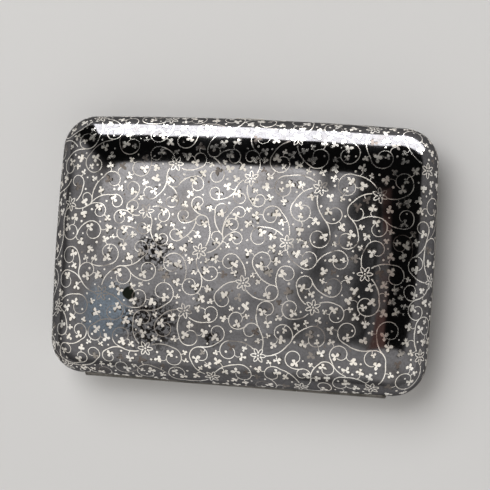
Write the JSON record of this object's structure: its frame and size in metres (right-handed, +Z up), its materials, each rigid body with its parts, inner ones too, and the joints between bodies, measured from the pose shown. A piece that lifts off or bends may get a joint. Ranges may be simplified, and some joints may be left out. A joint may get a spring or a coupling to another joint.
{
  "type": "cigarette case",
  "caption": "Pocket cigarette case: two pillow-shaped niello silver covers on a tube hinge, with a sprung push catch and an elastic band in each half.",
  "frame": {"origin": "middle of the flat back panel, on the surface that the closed case lies on", "axes": "+X along the long sides, +Y from the hinge side to the catch side, +Z up through the front cover"},
  "size_m": [0.084, 0.0585, 0.017],
  "materials": {
    "niello_silver": "silver engraved with vines and filled with polished blue-black niello, gilt inside",
    "silver": "polished silver, slightly worn",
    "gilt_silver": "silver with a thin wash of gold, satin",
    "spring_steel": "tempered steel, brushed",
    "elastic": "woven elastic, gold coloured"
  },
  "bodies": {
    "back_half": {"back_cover": "niello_silver", "back_bezel": "gilt_silver", "back_joint_bearer": "silver", "back_knuckle_1": "silver", "back_knuckle_3": "silver", "back_knuckle_5": "silver", "back_knuckle_7": "silver", "hinge_pin": "spring_steel", "hinge_plug_left": "silver", "hinge_plug_right": "silver", "catch_spring": "spring_steel", "spring_block": "gilt_silver", "spring_rivet_1": "spring_steel", "spring_rivet_2": "spring_steel", "back_band": "elastic", "back_band_loop_hinge": "gilt_silver", "back_band_loop_catch": "gilt_silver"},
    "push_piece": {"push_piece": "silver", "push_piece_collar": "gilt_silver"},
    "front_half": {"front_cover": "niello_silver", "front_joint_bearer": "silver", "front_knuckle_2": "silver", "front_knuckle_4": "silver", "front_knuckle_6": "silver", "keeper": "gilt_silver", "front_band": "elastic", "front_band_loop_hinge": "gilt_silver", "front_band_loop_catch": "gilt_silver"}
  },
  "joints": [
    {"name": "lid_hinge", "type": "hinge", "parent": "back_half", "child": "front_half", "pos_m": [0, -0.0282, 0.0085], "axis": [1, 0, 0], "range_deg": [0, 110]},
    {"name": "push_travel", "type": "slide", "parent": "back_half", "child": "push_piece", "axis": [0, -1, 0], "range_m": [0, 0.00065], "stiffness_N_per_m": 400, "springref_m": -0.002, "deforming": ["catch_spring"]}
  ]
}
